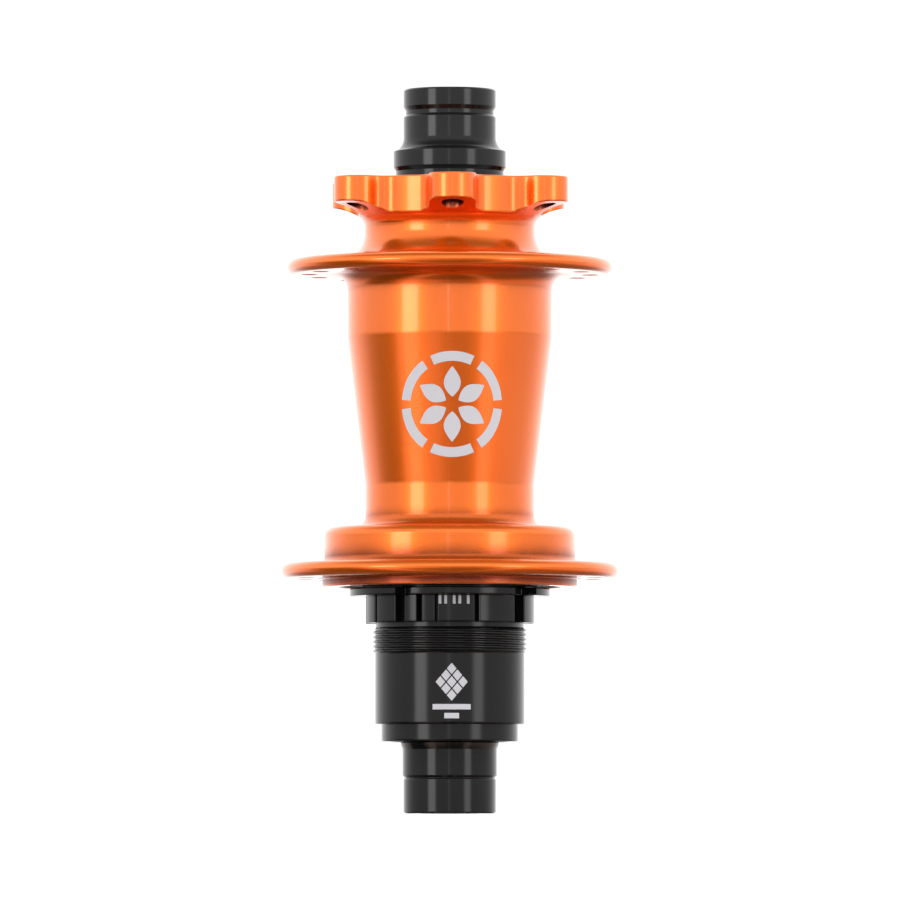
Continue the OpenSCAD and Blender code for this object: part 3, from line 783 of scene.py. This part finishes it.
def cone_surface(z):
    """Radius of the barrel's cone at each height."""
    return WAIST_R + (z - CONE_BOTTOM) * (BARREL_R - WAIST_R) / (CONE_TOP - CONE_BOTTOM)


def barrel_mark():
    """A six-leaf rosette in a broken ring, on the cone of the barrel."""
    turns = range(0, 360, 60)
    ring_inner_r, ring_outer_r, half_arc = 8.7, 10.7, 25
    leaf_foot, leaf_length, leaf_width = 1.5, 6.1, 3.3
    middle_z = 8.8
    patches = [arc_patch(ring_inner_r, ring_outer_r, turn - half_arc, turn + half_arc) for turn in turns]
    patches += [leaf_patch(leaf_foot, leaf_length, leaf_width, turn) for turn in turns]
    return mark("barrel_mark", patches, cone_surface, middle_z, turn=0)


def spline_mark():
    """A row of plain ticks, in two pairs and a single one, on the spline in front."""
    pitch, half_width, half_height = 1.15, 0.28, 0.85
    middle_z = -30.75
    patches = [bar_patch(k * pitch - half_width, k * pitch + half_width, -half_height, half_height, 4)
               for k in (-2.5, -1.5, 0, 1, 2.5)]
    return mark("spline_mark", patches, round_surface(SPLINE_R), middle_z, turn=1.5)


def seat_mark():
    """A lattice of nine lozenges over two plain bars, on the seat."""
    step_x, step_y, lattice_top = 1.15, 1.35, 6.9
    half_width, half_height = 0.95, 1.12
    middle_z = -51.6
    patches = [lozenge_patch(step_x * (i - k), lattice_top - step_y * (i + k), half_width, half_height)
               for i in range(3) for k in range(3)]
    patches.append(bar_patch(left=-3.9, right=3.9, bottom=-1.4, top=-0.3, steps=12))
    patches.append(bar_patch(left=-1.5, right=1.5, bottom=-3.2, top=-2.1))
    return mark("seat_mark", patches, round_surface(SEAT_R), middle_z, turn=0)


# ---- Materials ----

# Sizes of the procedural patterns: features to a metre for the noises, millimetres for the lines
METAL_TONE_SCALE = 90
SOFT_TONE_SCALE = 200
GRAIN_SCALE = 1500
LATHE_LINE = 0.12

# The part of a noise's range that its pattern really fills
NOISE_LOW = 0.3
NOISE_HIGH = 0.7

# Where painted shade darkens the shell's hollows: how far round a point to look, and the open share at each
# end
PAINTED_SHADE_REACH = 6
PAINTED_SHADE_FULL = 0.58
PAINTED_SHADE_NONE = 0.86

# Places of the colour sockets on a mix node, which has others of the same names for plain numbers
MIX_COLOUR_A = 6
MIX_COLOUR_B = 7
MIX_COLOUR_OUT = 2


def new_material(name):
    material = bpy.data.materials.new(name)
    material.use_nodes = True
    nodes = material.node_tree.nodes
    return material, nodes, material.node_tree.links, nodes["Principled BSDF"]


def math_node(nodes, links, operation, *values):
    node = nodes.new("ShaderNodeMath")
    node.operation = operation
    for socket, value in zip(node.inputs, values):
        if isinstance(value, bpy.types.NodeSocket):
            links.new(value, socket)
        else:
            socket.default_value = value
    return node.outputs[0]


def lathe_coordinates(nodes, links, line):
    """Coordinates that run across the marks a turning tool leaves, with one unit for each line."""
    place = nodes.new("ShaderNodeTexCoord").outputs["Object"]
    split = nodes.new("ShaderNodeSeparateXYZ")
    links.new(place, split.inputs[0])
    x, y, z = split.outputs
    across = math_node(nodes, links, "MULTIPLY", x, x)
    across = math_node(nodes, links, "MULTIPLY_ADD", y, y, across)
    across = math_node(nodes, links, "SQRT", across)
    join = nodes.new("ShaderNodeCombineXYZ")
    links.new(math_node(nodes, links, "MULTIPLY", across, 1 / line), join.inputs[0])
    links.new(math_node(nodes, links, "MULTIPLY", z, 1 / line), join.inputs[1])
    return place, join.outputs[0]


def noise(nodes, links, vector, scale, detail=2.0):
    node = nodes.new("ShaderNodeTexNoise")
    node.inputs["Scale"].default_value = scale
    node.inputs["Detail"].default_value = detail
    links.new(vector, node.inputs["Vector"])
    return node.outputs["Fac"]


def mix_colours(nodes, links, value, low, high):
    """Blends two colours by a 0 to 1 value. Each colour may also be the socket it comes from."""
    mix = nodes.new("ShaderNodeMix")
    mix.data_type = "RGBA"
    for place, colour in ((MIX_COLOUR_A, low), (MIX_COLOUR_B, high)):
        if isinstance(colour, bpy.types.NodeSocket):
            links.new(colour, mix.inputs[place])
        else:
            mix.inputs[place].default_value = (*colour, 1)
    links.new(value, mix.inputs[0])
    return mix.outputs[MIX_COLOUR_OUT]


def spread(nodes, links, value, start, end, low=0.0, high=1.0):
    """Stretches the range from start to end into the one from low to high."""
    node = nodes.new("ShaderNodeMapRange")
    node.inputs["From Min"].default_value = start
    node.inputs["From Max"].default_value = end
    node.inputs["To Min"].default_value = low
    node.inputs["To Max"].default_value = high
    links.new(value, node.inputs["Value"])
    return node.outputs[0]


def uneven(nodes, links, value, low, high):
    """Spreads a noise between two numbers."""
    return spread(nodes, links, value, NOISE_LOW, NOISE_HIGH, low, high)


def paint_hollow_shade(nodes, links, shader, colour, coat):
    """Paints shade into narrow corners: blends the base colour into a darker one there, and takes the coat
    away there.
    """
    base = shader.inputs["Base Color"]
    unshaded_colour = base.links[0].from_socket
    # Painted shade: the more closed in a point is, the darker its colour and the weaker its coat's reflection
    occlusion = nodes.new("ShaderNodeAmbientOcclusion")
    occlusion.samples = 8
    occlusion.inputs["Distance"].default_value = PAINTED_SHADE_REACH * MM
    unshaded = spread(nodes, links, occlusion.outputs["AO"], PAINTED_SHADE_FULL, PAINTED_SHADE_NONE)
    links.new(mix_colours(nodes, links, unshaded, colour, unshaded_colour), base)
    links.new(math_node(nodes, links, "MULTIPLY", unshaded, coat), shader.inputs["Coat Weight"])


def add_relief(nodes, links, shader, height, strength, distance):
    """Raises the surface by a pattern, with the distance in millimetres."""
    relief = nodes.new("ShaderNodeBump")
    relief.inputs["Strength"].default_value = strength
    relief.inputs["Distance"].default_value = distance * MM
    links.new(height, relief.inputs["Height"])
    links.new(relief.outputs[0], shader.inputs["Normal"])


def turned_metal(name, dark, light, metallic, roughness, bump, specular=0.5, coat=0.0,
                 coat_roughness=0.05, stretch=0.0, hollow=None):
    """Turned metal: faint lines round the axle, a slightly uneven gloss and a slightly uneven tone, and
    painted shade in its hollows when a hollow colour is given.
    """
    material, nodes, links, shader = new_material(name)
    place, rings = lathe_coordinates(nodes, links, LATHE_LINE * MM)
    tone = noise(nodes, links, place, METAL_TONE_SCALE)
    links.new(mix_colours(nodes, links, tone, dark, light), shader.inputs["Base Color"])
    lines = noise(nodes, links, rings, scale=1.0, detail=3.0)
    links.new(uneven(nodes, links, lines, *roughness), shader.inputs["Roughness"])
    add_relief(nodes, links, shader, lines, bump, distance=0.01)
    shader.inputs["Metallic"].default_value = metallic
    shader.inputs["Specular IOR Level"].default_value = specular
    shader.inputs["Coat Weight"].default_value = coat
    shader.inputs["Coat Roughness"].default_value = coat_roughness
    # The hollow colour is painted shade, laid into corners and creases
    if hollow:
        paint_hollow_shade(nodes, links, shader, hollow, coat)
    if stretch:
        tangent = nodes.new("ShaderNodeTangent")
        tangent.direction_type = "RADIAL"
        tangent.axis = "Z"
        links.new(tangent.outputs[0], shader.inputs["Tangent"])
        shader.inputs["Anisotropic"].default_value = stretch
    return material


def soft_material(name, dark, light, roughness, bump=0.15):
    """Rubber, moulded plastic or print: a fine grain and a slightly uneven tone."""
    material, nodes, links, shader = new_material(name)
    place = nodes.new("ShaderNodeTexCoord").outputs["Object"]
    tone = noise(nodes, links, place, SOFT_TONE_SCALE)
    links.new(mix_colours(nodes, links, tone, dark, light), shader.inputs["Base Color"])
    fine = noise(nodes, links, place, GRAIN_SCALE, detail=4.0)
    links.new(uneven(nodes, links, fine, *roughness), shader.inputs["Roughness"])
    add_relief(nodes, links, shader, fine, bump, distance=0.02)
    return material


def make_materials():
    return {
        # The orange's hollow colour, a dark maroon, is painted shade in its corners and creases
        "anodised_orange": turned_metal(
            "anodised_orange", (0.77, 0.134, 0.004), (0.81, 0.150, 0.007), 0.8, (0.25, 0.27),
            coat=0.65, coat_roughness=0.04, bump=0.0, stretch=0.6, hollow=(0.07, 0.003, 0.004)),
        "anodised_black": turned_metal(
            "anodised_black", (0.003, 0.003, 0.0033), (0.005, 0.005, 0.0052), 0.0, (0.1, 0.17),
            bump=0.06, specular=0.29),
        "driver_black": turned_metal(
            "driver_black", (0.003, 0.003, 0.0033), (0.005, 0.005, 0.0052), 0.0, (0.12, 0.19),
            bump=0.06, specular=0.29),
        "axle_metal": turned_metal(
            "axle_metal", (0.5, 0.51, 0.53), (0.6, 0.61, 0.63), 1.0, (0.3, 0.42), bump=0.3),
        "bearing_steel": turned_metal(
            "bearing_steel", (0.58, 0.59, 0.61), (0.66, 0.67, 0.69), 1.0, (0.12, 0.2), bump=0.1),
        "tool_steel": turned_metal(
            "tool_steel", (0.34, 0.35, 0.37), (0.44, 0.45, 0.47), 1.0, (0.28, 0.4), bump=0.3),
        "rubber": soft_material("rubber", (0.018, 0.018, 0.018), (0.03, 0.03, 0.03), (0.45, 0.6)),
        "nylon": soft_material("nylon", (0.62, 0.56, 0.42), (0.7, 0.64, 0.5), (0.4, 0.5), bump=0.05),
        "print_white": soft_material(
            "print_white", (0.4, 0.395, 0.42), (0.43, 0.425, 0.45), (0.45, 0.55), bump=0.05),
    }


def give(obj, material):
    obj.data.materials.clear()
    obj.data.materials.append(material)


def dress_cad_nodes(materials):
    """Each CAD node that stays visible gets the procedural material of its slot in the record."""
    for part in frame["record"]["subparts"]:
        give(frame["nodes"][part["node"]], materials[part["material_slot"]])


# ---- Studio ----

# Ramps of the room's light by elevation: where each starts and ends, in degrees, and its level there
WALL_FOOT = (0.5, 4.5, 0.72, 1.4)
WALL_TOP = (25, 60, 0.0, 1.15)
FLOOR_FADE = (-40, -18, 0.2, 1.0)
BELOW_HORIZON = (-8, -3, 1.0, 0.0)
STRIP_BODY = (0.5, 4.0, 3.2, 4.8)
STRIP_FOOT = (-8, -3, 0.35, 1.0)
STRIP_TOP = (8, 12, 1.0, 0.0)
BACK_WALL = (-30, -8, 0.15, 1.55)
SOFT_LIGHT = (-30, 30, 1.65, 2.35)
GLOW = (-11, -5, 1.0, 0.0)

# The same by angle from the front: where the front of the room gives way to its back
ROUND_BACK = (95, 155, 0.0, 1.0)

# Upright bands of the room, screens near the ground and lights: azimuth, half width and softness in
# degrees, level
DARK_SCREENS = [(-89, 23, 4, 0.93), (11, 22, 6, 0.62)]
STRIP_LIGHTS = [(-47, 9.5, 2.0, 1.0), (43.5, 8.0, 3.0, 0.75), (-3, 1.0, 0.8, 0.45)]

# Tint of the low, dark part of the studio that the barrel's cone reflects
WARM_GLOW = (1.0, 0.72, 0.6)

SIDE_LIGHT = 0.22
WHITE_TO_CAMERA = 1.05


def world_light():
    """A white room to the camera, and a studio of strip lights and dark sides to reflections."""
    world = bpy.data.worlds.new("studio")
    world.use_nodes = True
    bpy.context.scene.world = world
    nodes, links = world.node_tree.nodes, world.node_tree.links
    nodes.clear()

    def calc(operation, *values):
        return math_node(nodes, links, operation, *values)

    def ramp(value, start, end, low, high):
        output = spread(nodes, links, value, start, end, low, high)
        output.node.interpolation_type = "SMOOTHSTEP"
        return output

    def band(middle, half_width, soft, level):
        off = calc("ABSOLUTE", calc("SUBTRACT", azimuth, middle))
        return ramp(off, half_width - soft, half_width + soft, level, 0.0)

    split = nodes.new("ShaderNodeSeparateXYZ")
    links.new(nodes.new("ShaderNodeTexCoord").outputs["Generated"], split.inputs[0])
    x, y, z = split.outputs
    azimuth = calc("DEGREES", calc("ARCTAN2", x, calc("MULTIPLY", y, -1)))
    elevation = calc("DEGREES", calc("ARCSINE", z))
    round_back = ramp(calc("ABSOLUTE", azimuth), *ROUND_BACK)
    is_front = calc("SUBTRACT", 1.0, round_back)

    wall = calc("SUBTRACT", ramp(elevation, *WALL_FOOT), ramp(elevation, *WALL_TOP))
    ground = 1.0
    for screen in DARK_SCREENS:
        ground = calc("SUBTRACT", ground, band(*screen))
    ground = calc("MULTIPLY", ground, ramp(elevation, *FLOOR_FADE))
    below = ramp(elevation, *BELOW_HORIZON)
    above = calc("SUBTRACT", 1.0, below)
    room = calc("ADD", calc("MULTIPLY", wall, above), calc("MULTIPLY", ground, below))

    strips = band(*STRIP_LIGHTS[0])
    for strip in STRIP_LIGHTS[1:]:
        strips = calc("ADD", strips, band(*strip))
    for limits in (STRIP_BODY, STRIP_FOOT, STRIP_TOP):
        strips = calc("MULTIPLY", strips, ramp(elevation, *limits))
    front = calc("MULTIPLY", calc("ADD", strips, room), is_front)
    back = calc("MULTIPLY", ramp(elevation, *BACK_WALL), round_back)
    mirror = calc("ADD", front, back)
    soft_light = calc("MULTIPLY_ADD", x, SIDE_LIGHT, ramp(elevation, *SOFT_LIGHT))

    path = nodes.new("ShaderNodeLightPath")
    level = nodes.new("ShaderNodeMix")
    links.new(path.outputs["Is Glossy Ray"], level.inputs[0])
    links.new(soft_light, level.inputs[2])
    links.new(mirror, level.inputs[3])
    seen = nodes.new("ShaderNodeMix")
    links.new(path.outputs["Is Camera Ray"], seen.inputs[0])
    links.new(level.outputs[0], seen.inputs[2])
    seen.inputs[3].default_value = WHITE_TO_CAMERA
    background = nodes.new("ShaderNodeBackground")
    links.new(seen.outputs[0], background.inputs["Strength"])
    glow = calc("MULTIPLY", calc("MULTIPLY", ramp(elevation, *GLOW), is_front), path.outputs["Is Glossy Ray"])
    links.new(mix_colours(nodes, links, glow, (1, 1, 1), WARM_GLOW), background.inputs["Color"])
    output = nodes.new("ShaderNodeOutputWorld")
    links.new(background.outputs[0], output.inputs[0])


def floor():
    """A pale floor that is seen from above only, and that mirrors look past."""
    size = 3.0
    tone_scale = 12
    dark, light = (0.42, 0.42, 0.42), (0.45, 0.45, 0.45)
    mesh = bpy.data.meshes.new("floor")
    corners = [(-size, -size, 0), (size, -size, 0), (size, size, 0), (-size, size, 0)]
    mesh.from_pydata(corners, [], [(0, 1, 2, 3)])
    obj = bpy.data.objects.new("floor", mesh)
    obj.location.z = cad_box[0].z
    bpy.context.scene.collection.objects.link(obj)
    material, nodes, links, shader = new_material("pale_floor")
    place = nodes.new("ShaderNodeTexCoord").outputs["Object"]
    tone = noise(nodes, links, place, tone_scale)
    links.new(mix_colours(nodes, links, tone, dark, light), shader.inputs["Base Color"])
    shader.inputs["Roughness"].default_value = 0.9
    clear = nodes.new("ShaderNodeBsdfTransparent")
    mix = nodes.new("ShaderNodeMixShader")
    behind = nodes.new("ShaderNodeNewGeometry").outputs["Backfacing"]
    mirror = nodes.new("ShaderNodeLightPath").outputs["Is Glossy Ray"]
    links.new(math_node(nodes, links, "MAXIMUM", behind, mirror), mix.inputs[0])
    links.new(shader.outputs[0], mix.inputs[1])
    links.new(clear.outputs[0], mix.inputs[2])
    links.new(mix.outputs[0], nodes["Material Output"].inputs["Surface"])
    give(obj, material)


def camera():
    """The camera stands far away, a little below the hub's foot, and looks at the hub's middle."""
    distance = 2.155
    height = -89 * MM
    turn = math.radians(-1.5)
    field = 183.9 * MM
    aim = Vector((0, 0, 0.25 * MM))
    data = bpy.data.cameras.new("camera")
    obj = bpy.data.objects.new("camera", data)
    bpy.context.scene.collection.objects.link(obj)
    obj.location = (distance * math.sin(turn), -distance * math.cos(turn), height)
    sight = aim - obj.location
    obj.rotation_euler = sight.to_track_quat("-Z", "Y").to_euler()
    data.sensor_width = 36
    data.lens = data.sensor_width * sight.length / field
    data.shift_x = 0.0003
    data.clip_start = 0.05
    data.clip_end = 20
    bpy.context.scene.camera = obj


# ---- The hub ----

def build():
    """Makes the visible pieces, puts each on the body it moves with, and dresses everything."""
    materials = make_materials()
    dress_cad_nodes(materials)
    pieces = [
        (hub_shell(), "shell", "hub_shell", "anodised_orange"),
        (driver_body(), "driver", "driver_body", "driver_black"),
        (upper_cap(), "axle", "nds_end_cap", "anodised_black"),
        (lower_cap(), "axle", "ds_end_cap", "anodised_black"),
    ]
    for obj, body, node, slot in pieces:
        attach(obj, body)
        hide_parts(node)
        give(obj, materials[slot])
    for obj, body in ((barrel_mark(), "shell"), (spline_mark(), "driver"), (seat_mark(), "driver")):
        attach(obj, body)
        give(obj, materials["print_white"])


build()
world_light()
floor()
camera()
bpy.context.scene.view_settings.view_transform = "Standard"
